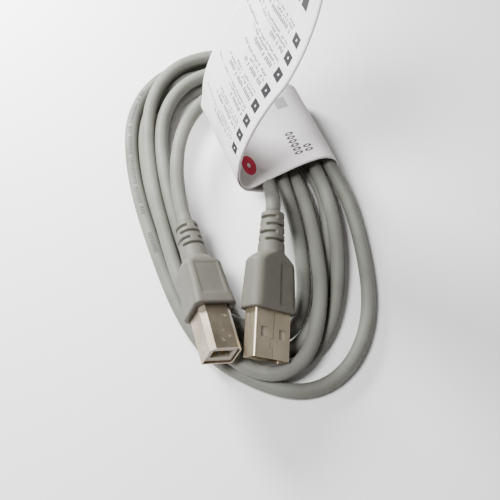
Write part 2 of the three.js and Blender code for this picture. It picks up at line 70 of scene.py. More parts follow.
# each turn's place in the bundle, from the band round to the band: station, outwards, height
LANES = [
    [(6.3, 9.4, 2.3), (7.6, 8.6, 2.0), (9.3, 7.6, 2.0), (10.2, 6.4, 2.0), (11.1, 4.2, 2.0),
     (12.2, 1.5, 2.0), (13.4, 0.0, 2.0), (14.2, 1.6, 2.0), (15.5, 1.7, 2.0), (17.9, 2.6, 2.0),
     (19.3, 4.0, 2.0), (21.0, 5.4, 2.0), (22.5, 4.6, 2.0), (24.5, 2.4, 2.2), (26.6, 2.6, 2.3)],
    [(6.1, 5.0, 5.8), (6.6, 4.1, 5.7), (7.0, 2.9, 5.4), (7.9, 0.9, 4.4), (8.9, -1.2, 2.6),
     (9.8, -2.4, 2.0), (10.5, -3.4, 2.0), (11.2, -4.9, 2.0), (12.4, -2.8, 2.0), (14.0, -2.5, 2.0),
     (16.0, -2.2, 2.0), (18.5, -0.6, 2.0), (20.5, 0.8, 2.0), (22.0, 0.6, 2.0), (24.0, -1.6, 2.0),
     (26.6, -1.6, 2.3)],
    [(6.1, 6.2, 2.0), (6.7, 4.6, 2.0), (7.3, 1.2, 2.0), (7.9, -1.8, 2.0), (8.9, -5.2, 2.0),
     (9.8, -6.6, 2.0), (11.2, -9.0, 2.0), (12.4, -6.9, 2.0), (14.0, -6.6, 2.0), (16.0, -6.2, 2.0),
     (18.5, -4.6, 2.0), (20.5, -5.2, 2.0), (22.0, -5.2, 2.0), (24.0, -5.4, 2.0), (26.6, -5.6, 2.3)],
    [(6.3, -1.6, 5.8), (7.0, -3.9, 5.5), (8.5, -5.2, 5.5), (9.6, -6.0, 5.8), (11.2, -3.7, 5.6),
     (12.4, -0.6, 5.6), (13.4, 0.2, 5.8), (15.0, -1.0, 5.6), (18.0, -1.6, 5.5), (20.5, -1.2, 5.5),
     (22.1, 0.7, 5.8), (23.4, 3.0, 5.8), (24.8, 1.6, 5.6), (26.6, 0.2, 5.8)],
    [(6.2, -6.0, 5.5), (7.4, -8.3, 4.2), (9.6, -10.5, 2.0), (11.2, -13.0, 2.0), (12.4, -11.0, 2.0),
     (14.0, -10.4, 2.2), (16.0, -6.2, 4.8), (18.5, -5.0, 5.5), (20.4, -4.3, 5.8), (21.4, -5.2, 6.2),
     (22.3, -5.6, 6.4), (23.9, -4.4, 6.4), (25.2, -4.4, 6.0), (26.6, -4.0, 5.8)],
]
CLEARANCE = 0.06  # that the settled strands keep from each other
SETTLE_ROUNDS = 260

BAND_CENTRE = np.array([7.38, 33.3, 0.0])
BAND_ANGLE = math.radians(23)
BAND_WIDTH = 28.0
BAND_LENGTH = 29.0
OVER_COIL = 9.9

# ---- the plugs, as in the CAD: the tip towards -Y, the origin where the shell leaves the grip ----
PLUG_A = dict(
    name="plug_a", place=(4.65, -23.8, 12.8), yaw=-3, pitch=8, roll=42,
    width=15.0, height=7.6, corner=2.6, length=15.6, rear_scale=0.9, waist=0.0,
    shell_width=12.0, shell_height=4.5, shell_out=12.0, shell_corner=0.6, shell_cut=0.0,
    relief_length=10.8, relief_front=3.6, relief_rear=3.05, cable_front=11.9,
    panel=(0.6, 6.3, 1.6, 12.6), panel_depth=0.34,
)
PLUG_B = dict(
    name="plug_b", place=(-10.0, -24.3, 13.6), yaw=15.5, pitch=-8.5, roll=25,
    width=11.6, height=10.8, corner=1.8, length=16.2, rear_scale=0.88, waist=0.05,
    shell_width=8.45, shell_height=7.78, shell_out=12.3, shell_corner=0.5, shell_cut=1.3,
    relief_length=11.8, relief_front=3.7, relief_rear=3.1, cable_front=11.4,
    panel=(-3.2, 3.2, 3.0, 12.6), panel_depth=0.16,
)
FIT_GAP = 0.3
SLOT_WIDTH = 0.9
SLOT_PITCH = 2.1
SLOT_ROWS = 4
SLOT_FROM_REAR = 1.3
SLOT_BRIDGE = 2.2
SLOT_EASE = 0.16  # over which a slot's edge goes down
SLOT_FLOOR = CABLE_RADIUS + 0.12
RELIEF_SIDES = 80
RELIEF_STEPS = 96
RELIEF_INSIDE = CABLE_RADIUS + 0.03
RELIEF_MOUTH = 1.0  # how far its rear end turns in round the cable
LIP_LENGTH = 0.35
LIP_DROP = 0.28
CABLE_END_STEPS = 24
SHOULDER = 3.4  # the stretch in which a grip narrows to its strain relief
SHOULDER_ROUND = 0.6  # how round that stretch is, from 0, straight, to 1
GRIP_EDGE = 0.5
GRIP_EDGE_RINGS = 4
GRIP_RINGS = 40
SHOULDER_RINGS = 16
GRIP_SIDES = 176
CORNER_STEPS = 12
CORNER_EASE = 0.01  # that a corner's radius stays under half the side
PANEL_EDGE = 0.3
PANEL_FROM = 0.3  # the share of the grip's height above which a point is on its upper face
SEAT_CORNER = 0.1
SEAT_DEPTH = 1.2

# ---- the cord's free stretches and how its strands settle ----
RELIEF_RUN = (1.5, 3.5)  # how far past a strain relief the cord still runs straight
LEAD_B_FREE = [
    (-19.4, 9.5, OVER_COIL - 0.7), (-20.8, 16.5, OVER_COIL - 0.3), (-21.2, 24.0, OVER_COIL - 0.1),
    (-20.6, 30.5, OVER_COIL + 0.1), (-19.2, 37.0, OVER_COIL + 0.1),
]
LEAD_A_FREE = [(6.0, 9.2, OVER_COIL + 4.4)]
BAND_END = BAND_LENGTH / 2
# across the band, along it and up
LEAD_B_AT_BAND = [
    (-16.9, BAND_END + 3.4, 10.0), (-9.6, BAND_END + 7.0, 10.0), (-1.7, BAND_END + 6.7, 9.7),
    (3.6, BAND_END - 1.0, 9.4), (5.6, BAND_END - 9.0, 8.4), (6.6, 0.0, 6.6),
]
LEAD_A_AT_BAND = [
    (-5.4, 4.0, 7.2), (-6.6, 8.0 - BAND_END, 7.8), (-8.0, 1.0 - BAND_END, 8.2),
    (-9.0, -4.0 - BAND_END, 10.0),
]
COIL_STEP = 0.12  # in stations
COIL_EASE = 13  # points over which a change of lane is eased
COIL_TRIM = 2  # points left out at each end of the coil, where the leads join it
FIXED_POINTS = 3  # at each end of the cord, held in line with the plug
FIRST_PASSES = 8
LAST_PASSES = 2
SHOWN_SPAN = 3  # points put in for each step of the settled line, before it is spaced evenly again
SHOWN_STEP = CORD_STEP / 1.6
NEAR_ALONG = 4.5  # diameters along the cord within which it doesn't push itself away
PUSH_GAIN = 1.15
PULL_BACK = 0.012  # the share of its shift that a strand gives back in each round
FREE_ROUNDS = 60  # the last rounds, in which nothing pulls the strands back
PLUG_CLEARANCE = 0.15
FLOOR_CLEARANCE = 0.02
SHELL_ROUNDING = 0.5
GRIP_ROUNDING = 0.2  # that a grip's corner is sharper by as an obstacle
BAND_SIDE_REACH = 2.0
BAND_END_REACH = 1.0
TINY = 1e-6  # this and the next keep a division by no length from failing
NO_LENGTH = 1e-9

# ---- the paper strip ----
# the paper's line round the bundle: across the band and up, from the flag's fold
BAND_PROFILE = [
    (-14.3, 9.75), (-12.4, 10.0), (-9.0, 10.6), (-5.0, 11.3), (-1.0, 12.0), (2.5, 12.35), (6.5, 12.2),
    (9.6, 11.2), (12.0, 9.2), (13.4, 6.6), (13.75, 4.2), (12.9, 1.8), (11.0, 0.5), (7.0, 0.18),
    (1.0, 0.3), (-3.0, 1.1), (-6.5, 2.7), (-9.5, 4.6), (-12.3, 6.8), (-14.4, 8.5), (-15.3, 9.2),
]
PAPER_ARCH = 9  # the points of it that go over the bundle
FLAG_PROFILE = [
    (0, 0), (-2.0, 6.4), (-1.5, 15.0), (0.4, 22.0), (3.3, 29.0), (6.9, 35.3), (10.6, 40.6),
    (13.6, 47.6), (15.2, 53.0), (16.4, 58.6), (17.2, 65.0), (17.8, 74.0),
]
FLAG_ROOT = (-15.0, 9.6)
PAPER = 0.24
PAPER_STEP = 0.9
PAPER_SPAN = 8
PAPER_COLUMNS = 41
PAPER_OVER = 0.3  # between the strands and the paper over them
PAPER_UNDER = 0.2
PAPER_ROOM = BAND_WIDTH / 2 - 2.6  # how far across the band a strand's middle may lie
ROOM_TAPER = 0.5
ROOM_TAPER_FROM = 6.0
FOLD_TRIM = 2  # points left out where a leaf meets the stretch round the bundle
LEAF_SHIFT = 0.15
LEAF_GAP = 0.5
FOLD_GAP = 0.3  # that the leaves stand further apart at the fold
FOLD_FADE = 6.0
FLAT_BELOW = 1.0  # paper lower than this lies on the table and doesn't wave
BAND_FROM = 9.0  # the height of the band's upper side
FLAG_FROM = 12.6
WAVE_FROM = 11.0  # paper lower than this waves less, unless it is WAVE_PAST_FOLD or more up the flag
WAVE_PAST_FOLD = 8.0
WAVES = ((0.22, 0.21, 0.05, 0.0), (0.14, 0.47, -0.11, 1.3))  # height, turn across, turn along, start
FLAT_WAVE = 0.3  # shares of a wave: low on the strip, on the flag and on the band
FLAG_WAVE = 0.5
BAND_WAVE = 0.4
CURL = 1.3  # how far the flag's far edge leans over
CURL_LENGTH = 6.0

# ---- the marks ----
PRINT_UP_AT = (-33.4, 20.0)  # where on the outer turn the cable's print faces up
PRINT_MIDDLE = 0.495  # the print's place round the cable
PRINT_AROUND = (0.448, 0.542)
PRINT_BEFORE = 24.0
PRINT_AFTER = 34.0
STROKES_PER_MM = 1.05
WORDS_PER_MM = 0.16
STROKE = (0.12, 0.8)  # in shares of a letter's place
STROKE_HOLE = (0.36, 0.56)
STROKES_LEFT_OUT = 0.12
# up the flag from its fold, and across it
ICON_PITCH = 5.25
ICON_SHIFT = 2.9
ICON_ROWS = (12.8, 55.2)
ICON_UP = (0.22, 0.78)
ICON_ACROSS = (-12.0, -9.2)
ICON_HOLE_UP = (0.45, 0.56)
ICON_HOLE_ACROSS = (-10.8, -10.4)
HEADING_UP = (60.0, 64.5)
HEADING_ACROSS = (-10.5, -1.5)
HEADING_PER_MM = 0.25
HEADING_GAP = 0.18
# each line of a row: its place in the row, letters per mm, seed, longest reach and ink
TEXT_LINES = [
    ((0.28, 0.5), 1.5, 3.0, 12.0, 0.85),
    ((0.6, 0.72), 2.3, 11.0, 20.0, 0.95),
    ((0.82, 0.93), 2.3, 19.0, 16.0, 0.95),
]
TEXT_START = -8.2
TEXT_SHORTEST = -2.0
TEXT_SEED_STEP = 7.0
LETTERS_LEFT_OUT = 0.17
LETTER = (0.1, 0.84)
LETTER_RISE = 0.08
# up the band from where the paper leaves the fold, and across it
DIGITS_PER_MM = 0.72
DIGIT_WIDTH = 2.6
DIGIT_HEIGHT = 0.8
DIGIT_RING = (0.16, 1.1)
DIGIT_INK = 0.9
DIGIT_ROWS = [(18.9, (-11.11, -2.78)), (22.1, (-11.11, -8.33))]
PATCH_UP = (19.4, 22.8)
PATCH_ACROSS = (5.6, 9.4)
PATCH_INK = 0.6
RING_UP = 4.5
RING_ACROSS = -7.6
RING_SQUASH = 0.55
RING_SPREAD = (0.2, 3.4)
RING_INK = 0.95

# ---- colours ----
JACKET_LIGHT = (0.168, 0.168, 0.147)
JACKET_DARK = (0.118, 0.117, 0.101)
GRIP_LIGHT = (0.11, 0.104, 0.085)
GRIP_DARK = (0.082, 0.077, 0.062)
# plug A's shell: the same plated steel as plug B's, made lighter as painted light, for the stronger light
# falling on it
PAINTED_LIT_STEEL_LIGHT = (0.66, 0.57, 0.43)
PAINTED_LIT_STEEL_DARK = (0.5, 0.425, 0.31)
STEEL_LIGHT = (0.46, 0.395, 0.3)
STEEL_DARK = (0.30, 0.25, 0.185)
CRIMP_LIGHT = (0.5, 0.5, 0.5)
CRIMP_DARK = (0.4, 0.4, 0.4)
GOLD_LIGHT = (0.8, 0.58, 0.25)
GOLD_DARK = (0.66, 0.45, 0.16)
INSULATOR_LIGHT = (0.42, 0.36, 0.29)
INSULATOR_DARK = (0.34, 0.29, 0.23)
MOULD_LIGHT = (0.62, 0.6, 0.54)
MOULD_DARK = (0.52, 0.5, 0.45)
WIRE_COLOURS = {
    "red": ((0.5, 0.03, 0.02), (0.4, 0.02, 0.015)),
    "white": ((0.75, 0.74, 0.7), (0.66, 0.65, 0.61)),
    "green": ((0.04, 0.3, 0.09), (0.03, 0.23, 0.06)),
    "black": ((0.03, 0.03, 0.03), (0.02, 0.02, 0.02)),
}
PAPER_LIGHT = (0.77, 0.72, 0.715)
PAPER_DARK = (0.71, 0.66, 0.655)
PAPER_FIBRE = (0.58, 0.54, 0.51)
PRINT_BLACK = (0.01, 0.01, 0.011)
PRINT_GREY = (0.12, 0.12, 0.12)
PRINT_RED = (0.56, 0.006, 0.055)
FLOOR_LIGHT = (0.88, 0.865, 0.86)
FLOOR_DARK = (0.86, 0.845, 0.84)
CONTACTS = 4

# ---- the stage and the camera ----
FLOOR_HALF = 900.0
FLOOR_DROP = 0.00005  # in metres
WORLD_COLOUR = (1.0, 0.985, 0.965, 1.0)
WORLD_STRENGTH = 0.2
# places and sizes in metres
KEY_LIGHT = dict(
    place=(-0.135, -0.065, 0.32), aim=(-0.02, 0.02, 0.0), size=0.12, watts=2.05, color=(0.98, 0.99, 1.0),
)
SIDE_LIGHT = dict(
    place=(-0.13, 0.13, 0.12), aim=(-0.02, 0.03, 0.0), size=0.08, watts=1.7, color=(0.95, 0.98, 1.0),
)
CAMERA_ELEVATION = math.radians(64)
CAMERA_DISTANCE = 199.0  # from the layout's origin
CAMERA_LENS = 50.4
CAMERA_SENSOR = 36.0
CAMERA_CLIP = (0.01, 10.0)  # in metres


# ---- frames ----
def band_axes():
    across = np.array([math.cos(BAND_ANGLE), math.sin(BAND_ANGLE), 0.0])
    along = np.array([-math.sin(BAND_ANGLE), math.cos(BAND_ANGLE), 0.0])
    return across, along


def band_point(across, along, up):
    x_axis, y_axis = band_axes()
    return BAND_CENTRE + x_axis * across + y_axis * along + np.array([0.0, 0.0, up])


def find_shift():
    """Where the CAD frame has the layout's origin: the band's box is centred on the band's middle."""
    low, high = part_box("label_band")
    middle = (np.array(low) + np.array(high)) / 2 / MM
    return np.array([middle[0] - BAND_CENTRE[0], middle[1] - BAND_CENTRE[1], 0.0])


SHIFT = find_shift()


def to_frame(points):
    return (np.asarray(points, float) + SHIFT) * MM


def plug_rotation(plug):
    """The three.js order ZXY: yaw, then pitch, then roll."""
    yaw, pitch, roll = (math.radians(plug[key]) for key in ("yaw", "pitch", "roll"))
    turned = Matrix.Rotation(yaw, 3, "Z") @ Matrix.Rotation(pitch, 3, "X") @ Matrix.Rotation(roll, 3, "Y")
    return np.array(turned)


def plug_points(plug, local):
    return np.asarray(local, float) @ plug_rotation(plug).T + np.array(plug["place"])


def relief_front(plug):
    return plug["length"] + FIT_GAP


def relief_rear(plug):
    return relief_front(plug) + plug["relief_length"]


# ---- camera ----
def add_camera():
    back = np.array([0.0, -math.cos(CAMERA_ELEVATION), math.sin(CAMERA_ELEVATION)])
    data = bpy.data.cameras.new("camera")
    data.lens = CAMERA_LENS
    data.sensor_width = CAMERA_SENSOR
    data.clip_start, data.clip_end = CAMERA_CLIP
    camera = bpy.data.objects.new("camera", data)
    camera.location = to_frame(CAMERA_DISTANCE * back)
    camera.rotation_euler = (math.pi / 2 - CAMERA_ELEVATION, 0.0, 0.0)
    bpy.context.scene.collection.objects.link(camera)
    bpy.context.scene.camera = camera


# ---- mesh helpers ----
def mesh_object(name, points, faces, material):
    mesh = bpy.data.meshes.new(name)
    mesh.from_pydata([tuple(p) for p in to_frame(points)], [], faces)
    mesh.validate()
    mesh.polygons.foreach_set("use_smooth", [True] * len(mesh.polygons))
    mesh.materials.append(material)
    obj = bpy.data.objects.new(name, mesh)
    bpy.context.scene.collection.objects.link(obj)
    return obj


def ring_faces(rings, sides, closed=True):
    """Quads between rings of points, and a face over each end where the ends are closed."""
    faces = []
    for i in range(rings - 1):
        for j in range(sides):
            k = (j + 1) % sides
            faces.append((i * sides + j, i * sides + k, (i + 1) * sides + k, (i + 1) * sides + j))
    if closed:
        faces.append(tuple(reversed(range(sides))))
        faces.append(tuple(range((rings - 1) * sides, rings * sides)))
    return faces


def arc_lengths(points):
    return np.concatenate([[0.0], np.cumsum(np.linalg.norm(np.diff(points, axis=0), axis=1))])


def resample(points, step):
    along = arc_lengths(points)
    count = max(2, int(round(along[-1] / step)) + 1)
    at = np.linspace(0.0, along[-1], count)
    return np.stack([np.interp(at, along, points[:, k]) for k in range(points.shape[1])], axis=1)


def curve_point(a, b, c, d, t):
    """A Catmull-Rom curve's point from b, at t = 0, to c, at t = 1."""
    return 0.5 * (2 * b + (c - a) * t + (2 * a - 5 * b + 4 * c - d) * t**2 + (3 * b - a - 3 * c + d) * t**3)


def curve_direction(a, b, c, d, t):
    along = 0.5 * ((c - a) + 2 * (2 * a - 5 * b + 4 * c - d) * t + 3 * (3 * b - a - 3 * c + d) * t**2)
    return along / np.linalg.norm(along)


def spline(points, per_span=12):
    """A Catmull-Rom line through points."""
    points = np.asarray(points, float)
    padded = np.vstack([2 * points[0] - points[1], points, 2 * points[-1] - points[-2]])
    out = []
    for span in zip(padded, padded[1:], padded[2:], padded[3:]):
        out += [curve_point(*span, t) for t in np.linspace(0.0, 1.0, per_span, endpoint=False)]
    out.append(points[-1])
    return np.array(out)


def tube_rings(line, radius, sides, phase=0.0):
    """Rings round a line, carried along it without twist."""
    tangents = np.gradient(line, axis=0)
    tangents /= np.linalg.norm(tangents, axis=1)[:, None]
    normal = np.cross(tangents[0], [0.0, 0.0, 1.0])
    normal /= np.linalg.norm(normal)
    angles = np.linspace(0.0, 2 * math.pi, sides, endpoint=False) + phase
    circle_x, circle_y = np.cos(angles), np.sin(angles)
    rings = []
    for point, tangent in zip(line, tangents):
        normal = normal - tangent * (normal @ tangent)
        normal /= np.linalg.norm(normal)
        other = np.cross(tangent, normal)
        circle = np.outer(circle_x, normal) + np.outer(circle_y, other)
        rings.append(point + radius * circle)
    return np.array(rings)


def tube_uv(obj, along, sides):
    """u is the distance along the tube in mm, v goes once round it."""
    layer = obj.data.uv_layers.new(name="tube")
    values = np.zeros((len(obj.data.loops), 2), np.float32)
    for polygon in obj.data.polygons:
        on_side = len(polygon.vertices) == 4
        columns = [index % sides for index in polygon.vertices]
        wraps = on_side and max(columns) - min(columns) > 1
        for loop, vertex, column in zip(polygon.loop_indices, polygon.vertices, columns):
            around = sides if wraps and column == 0 else column
            values[loop] = (along[vertex // sides], around / sides)
    layer.data.foreach_set("uv", values.ravel())


# ---- the cord's line ----
def on_middle_line(station):
    """A point of the coil's middle line and the direction outwards there."""
    whole = int(math.floor(station))
    span = [np.array(MIDDLE_LINE[(whole + k) % STATIONS]) for k in (-1, 0, 1, 2)]
    along = curve_direction(*span, station - whole)
    return curve_point(*span, station - whole), np.array([-along[1], along[0]])


def coil_line():
    """The turns, worked out from the middle line and each turn's lane, out of the band and into it again."""
    keys = []
    for turn, lanes in enumerate(LANES):
        keys += [(turn * STATIONS + station, outwards, height) for station, outwards, height in lanes]
    keys = np.array(keys)
    stations = np.arange(keys[0, 0], keys[-1, 0], COIL_STEP)
    outwards = np.interp(stations, keys[:, 0], keys[:, 1])
    heights = np.interp(stations, keys[:, 0], keys[:, 2])
    window = np.hanning(COIL_EASE)
    window /= window.sum()
    reach = len(window) // 2
    outwards, heights = (
        np.convolve(np.pad(v, reach, mode="edge"), window, mode="valid") for v in (outwards, heights)
    )
    line = []
    for station, out, height in zip(stations, outwards, heights):
        point, direction = on_middle_line(station)
        line.append([*(point + direction * out), height])
    return np.array(line)


def lead_b_points():
    """From plug B's strain relief up the left side and into the band's far end."""
    rear = relief_rear(PLUG_B)
    start = plug_points(PLUG_B, [[0, rear + out, 0] for out in (0, *RELIEF_RUN)])
    return [*start, *LEAD_B_FREE, *[band_point(*point) for point in LEAD_B_AT_BAND]]


def lead_a_points():
    """Out of the band's near end and down to plug A's strain relief."""
    rear = relief_rear(PLUG_A)
    finish = plug_points(PLUG_A, [[0, rear + out, 0] for out in (*reversed(RELIEF_RUN), 0)])
    return [*[band_point(*point) for point in LEAD_A_AT_BAND], *LEAD_A_FREE, *finish]


def box_push(points, plug, low, high, corner, reach):
    """How far each point has to move to be reach outside a rounded box given in a plug's frame."""
    rotation = plug_rotation(plug)
    local = (points - np.array(plug["place"])) @ rotation
    middle, half = (np.array(low) + high) / 2, (np.array(high) - low) / 2 - corner
    away = local - middle
    over = np.abs(away) - half
    outside = np.maximum(over, 0.0)
    far = np.linalg.norm(outside, axis=1)
    deepest = np.argmax(over, axis=1)
    distance = np.where(far > 0, far, over.max(axis=1)) - corner
    outwards = outside * np.sign(away) / np.maximum(far, NO_LENGTH)[:, None]
    direction = np.where(far[:, None] > 0, outwards, 0.0)
    inside = far <= 0
    rows = np.flatnonzero(inside)
    direction[rows, deepest[rows]] = np.sign(away[rows, deepest[rows]])
    push = np.maximum(reach - distance, 0.0)
    return (direction * push[:, None]) @ rotation.T


def plug_obstacles(plug):
    """The shell and the grip, each as a rounded box: its lowest and highest corner and its rounding."""
    x, z = plug["shell_width"] / 2, plug["shell_height"] / 2
    shell = ([-x, -plug["shell_out"], -z], [x, 0, z], SHELL_ROUNDING)
    x, z = plug["width"] / 2, plug["height"] / 2
    grip = ([-x, 0, -z], [x, plug["length"], z], plug["corner"] - GRIP_ROUNDING)
    return [shell, grip]


def averaged(line):
    """Each point but the two ends, moved to the weighted mean of itself and its neighbours."""
    mean = line.copy()
    mean[1:-1] = 0.25 * line[:-2] + 0.5 * line[1:-1] + 0.25 * line[2:]
    return mean


def strands_apart(line, first, second):
    """The line with its strands pushed away from each other where they lie in each other."""
    apart = 2 * CABLE_RADIUS + CLEARANCE
    gap = line[second] - line[first]
    distance = np.linalg.norm(gap, axis=1)
    near = np.flatnonzero(distance < apart)
    push = gap[near] / np.maximum(distance[near], TINY)[:, None] * (apart - distance[near])[:, None]
    move = np.zeros_like(line)
    weight = np.zeros(len(line))
    np.add.at(move, first[near], -0.5 * push)
    np.add.at(move, second[near], 0.5 * push)
    np.add.at(weight, first[near], 1)
    np.add.at(weight, second[near], 1)
    return line + move / np.maximum(weight, 1.0)[:, None] * PUSH_GAIN


def inside_paper(line, in_band):
    """The line kept over the floor and, where it runs through the band, within the paper."""
    x_axis, y_axis = band_axes()
    local = line - BAND_CENTRE
    across, along = local @ x_axis, local @ y_axis
    at_paper = np.clip(across, -BAND_WIDTH / 2, BAND_WIDTH / 2)
    inside = in_band & (np.abs(along) < BAND_END + BAND_END_REACH)
    room = PAPER_ROOM - ROOM_TAPER * np.maximum(line[:, 2] - ROOM_TAPER_FROM, 0.0)
    side = np.clip(across, -room, room)
    line[inside] += ((side - across)[:, None] * x_axis)[inside]
    floor = np.where(inside, paper_floor(at_paper), CABLE_RADIUS + FLOOR_CLEARANCE)
    line[:, 2] = np.maximum(line[:, 2], floor)
    line[inside, 2] = np.minimum(line[inside, 2], paper_ceiling(at_paper)[inside])
    return line


def settle(target, fixed):
    """Pushes strands apart that lie in each other, in a plug, in the floor or in the paper."""
    line = target.copy()
    skip = int(NEAR_ALONG * CABLE_RADIUS * 2 / CORD_STEP)
    first, second = np.triu_indices(len(line), skip)
    at_band = (target - BAND_CENTRE) @ band_axes()[0]
    in_band = np.abs(at_band) < BAND_WIDTH / 2 + BAND_SIDE_REACH
    for turn in range(SETTLE_ROUNDS):
        line = strands_apart(line, first, second)
        for plug in (PLUG_A, PLUG_B):
            for low, high, corner in plug_obstacles(plug):
                line += box_push(line, plug, low, high, corner, CABLE_RADIUS + PLUG_CLEARANCE)
        line = inside_paper(line, in_band)
        pull = PULL_BACK if turn < SETTLE_ROUNDS - FREE_ROUNDS else 0.0
        line = target + averaged(line - target) * (1 - pull)
        line[fixed] = target[fixed]
    return line


def paper_ceiling(across):
    """The height that a strand's middle keeps under the paper."""
    top = np.array(BAND_PROFILE[:PAPER_ARCH])
    return np.interp(across, top[:, 0], top[:, 1]) - CABLE_RADIUS - PAPER_OVER


def paper_floor(across):
    """The height that a strand's middle keeps over the paper beneath the bundle."""
    bottom = np.array(BAND_PROFILE[:PAPER_ARCH:-1])
    return np.interp(across, bottom[:, 0], bottom[:, 1]) + CABLE_RADIUS + PAPER_UNDER


def smoothed(line, passes, fixed):
    for _ in range(passes):
        middle = averaged(line)
        middle[fixed] = line[fixed]
        line = middle
    return line


def cord_line():
    turns = coil_line()[COIL_TRIM:-COIL_TRIM]
    target = resample(np.vstack([spline(lead_b_points()), turns, spline(lead_a_points())]), CORD_STEP)
    fixed = np.zeros(len(target), bool)
    fixed[:FIXED_POINTS] = True
    fixed[-FIXED_POINTS:] = True
    target = smoothed(target, FIRST_PASSES, fixed)
    return smoothed(settle(target, fixed), LAST_PASSES, fixed)


# ---- materials ----
class Nodes:
    """A material's node tree, with a short way to add and join nodes."""

    def __init__(self, name):
        self.material = bpy.data.materials.new(name)
        self.material.use_nodes = True
        self.tree = self.material.node_tree
        self.shader = self.tree.nodes["Principled BSDF"]

    def add(self, kind, inputs=None, **settings):
        node = self.tree.nodes.new(kind)
        for key, value in settings.items():
            setattr(node, key, value)
        for key, value in (inputs or {}).items():
            self.put(node.inputs[key], value)
        return node

    def put(self, socket, value):
        if isinstance(value, bpy.types.NodeSocket):
            self.tree.links.new(value, socket)
        else:
            socket.default_value = value

    def math(self, operation, a, b=None, clamp=False):
        node = self.add("ShaderNodeMath", operation=operation, use_clamp=clamp)
        self.put(node.inputs[0], a)
        if b is not None:
            self.put(node.inputs[1], b)
        return node.outputs[0]

    def place(self):
        return self.add("ShaderNodeNewGeometry").outputs["Position"]

    def noise(self, scale, detail=3.0, vector=None, roughness=0.5):
        vector = vector or self.place()
        inputs = {"Scale": scale, "Detail": detail, "Roughness": roughness, "Vector": vector}
        return self.add("ShaderNodeTexNoise", inputs).outputs["Fac"]

    def ramp(self, factor, stops):
        node = self.add("ShaderNodeValToRGB", {"Fac": factor})
        elements = node.color_ramp.elements
        while len(elements) < len(stops):
            elements.new(0.5)
        for element, (position, color) in zip(elements, stops):
            element.position = position
            element.color = (*color, 1.0)
        return node.outputs["Color"]

    def mix(self, factor, a, b):
        node = self.add("ShaderNodeMix", data_type="RGBA")
        self.put(node.inputs[0], factor)
        self.put(node.inputs[6], a if isinstance(a, bpy.types.NodeSocket) else (*a, 1.0))
        self.put(node.inputs[7], b if isinstance(b, bpy.types.NodeSocket) else (*b, 1.0))
        return node.outputs[2]

    def range(self, value, low, high):
        node = self.add("ShaderNodeMapRange", {"Value": value, "To Min": low, "To Max": high})
        return node.outputs["Result"]

    def bump(self, height, distance, strength):
        node = self.add("ShaderNodeBump", {"Height": height, "Distance": distance, "Strength": strength})
        self.put(self.shader.inputs["Normal"], node.outputs["Normal"])

    def times(self, *values):
        """The product of all the values."""
        product = values[0]
        for value in values[1:]:
            product = self.math("MULTIPLY", product, value)
        return product

    def random(self, seed):
        return self.add("ShaderNodeTexWhiteNoise", {"W": seed}, noise_dimensions="1D").outputs["Value"]

    def set(self, name, value):
        self.put(self.shader.inputs[name], value)

    def between(self, value, low, high):
        """1 where value lies between low and high."""
        return self.times(self.math("GREATER_THAN", value, low), self.math("LESS_THAN", value, high))

    def uv(self, name):
        node = self.add("ShaderNodeUVMap", uv_map=name)
        split = self.add("ShaderNodeSeparateXYZ", {"Vector": node.outputs["UV"]})
        return split.outputs["X"], split.outputs["Y"]


def soft_vinyl(nodes, light, dark, grain_scale, roughness, shine):
    """Moulded vinyl: slow colour changes, a little dirt and a fine grain."""
    slow = nodes.noise(scale=70.0, detail=4.0)
    fine = nodes.noise(scale=900.0)
    nodes.set("Roughness", nodes.range(fine, roughness - 0.08, roughness + 0.1))
    nodes.set("Specular IOR Level", shine)
    nodes.bump(nodes.noise(scale=grain_scale, detail=4.0), distance=0.00006, strength=0.5)
    return nodes.ramp(slow, [(0.32, dark), (0.62, light)])


def cable_material(name="cable_vinyl", printed=(0.0, 0.0)):
    """printed is where along the cable its line of letters starts and ends."""
    nodes = Nodes(name)
    base = soft_vinyl(nodes, JACKET_LIGHT, JACKET_DARK, grain_scale=2600.0, roughness=0.52, shine=0.22)
    along, around = nodes.uv("tube")
    letter = nodes.times(along, STROKES_PER_MM)
    drawn = nodes.random(nodes.math("FLOOR", letter))
    in_word = nodes.random(nodes.math("FLOOR", nodes.times(along, WORDS_PER_MM)))
    part = nodes.math("FRACT", letter)
    stroke = nodes.math("SUBTRACT", nodes.between(part, *STROKE), nodes.between(part, *STROKE_HOLE))
    mark = nodes.times(
        stroke,
        nodes.math("GREATER_THAN", drawn, STROKES_LEFT_OUT),
        nodes.math("GREATER_THAN", in_word, STROKES_LEFT_OUT),
        nodes.between(around, *PRINT_AROUND),
        nodes.between(along, *printed),
        nodes.range(nodes.noise(scale=1800.0, detail=2.0), 0.75, 1.0),
    )
    nodes.set("Base Color", nodes.mix(mark, base, PRINT_BLACK))
    return nodes.material


def grip_material(name, light, dark):
    nodes = Nodes(name)
    base = soft_vinyl(nodes, light, dark, grain_scale=1500.0, roughness=0.56, shine=0.34)
    scuffs = nodes.math("GREATER_THAN", nodes.noise(scale=260.0, detail=6.0, roughness=0.7), 0.66)
    nodes.set("Base Color", nodes.mix(nodes.times(scuffs, 0.35), base, light))
    return nodes.material


